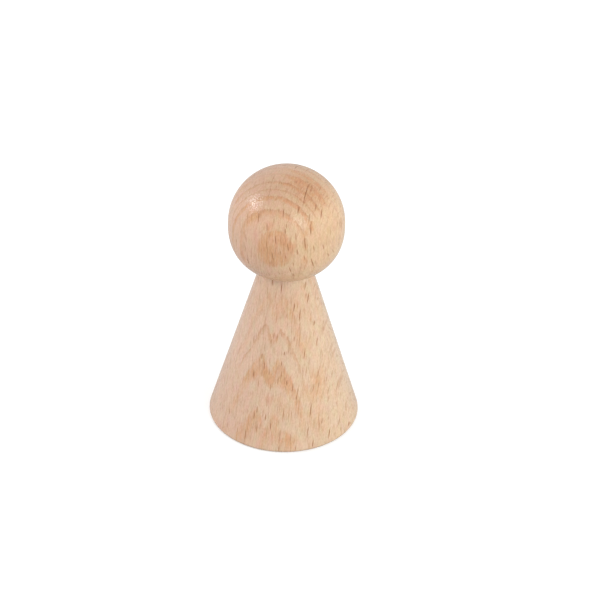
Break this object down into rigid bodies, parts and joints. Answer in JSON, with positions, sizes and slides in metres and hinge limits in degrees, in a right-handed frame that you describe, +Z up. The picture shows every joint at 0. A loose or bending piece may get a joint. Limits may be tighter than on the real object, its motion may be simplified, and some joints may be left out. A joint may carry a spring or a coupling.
{
  "type": "peg doll",
  "caption": "Small turned wooden peg doll with a ball head on a tapering cone body, joined by a hidden dowel pin.",
  "frame": {"origin": "centre of the round underside that the doll stands on", "axes": "+Z up through the body and the head; the doll is round, so +X and +Y are square to each other in the underside, and the wood's growth rings face about -Y"},
  "size_m": [0.0264, 0.0264, 0.05],
  "materials": {
    "beech_waxed": "satin",
    "beech_raw": "matte"
  },
  "bodies": {
    "root": {"body": "beech_waxed", "head": "beech_waxed", "neck_dowel": "beech_raw"}
  },
  "joints": []
}
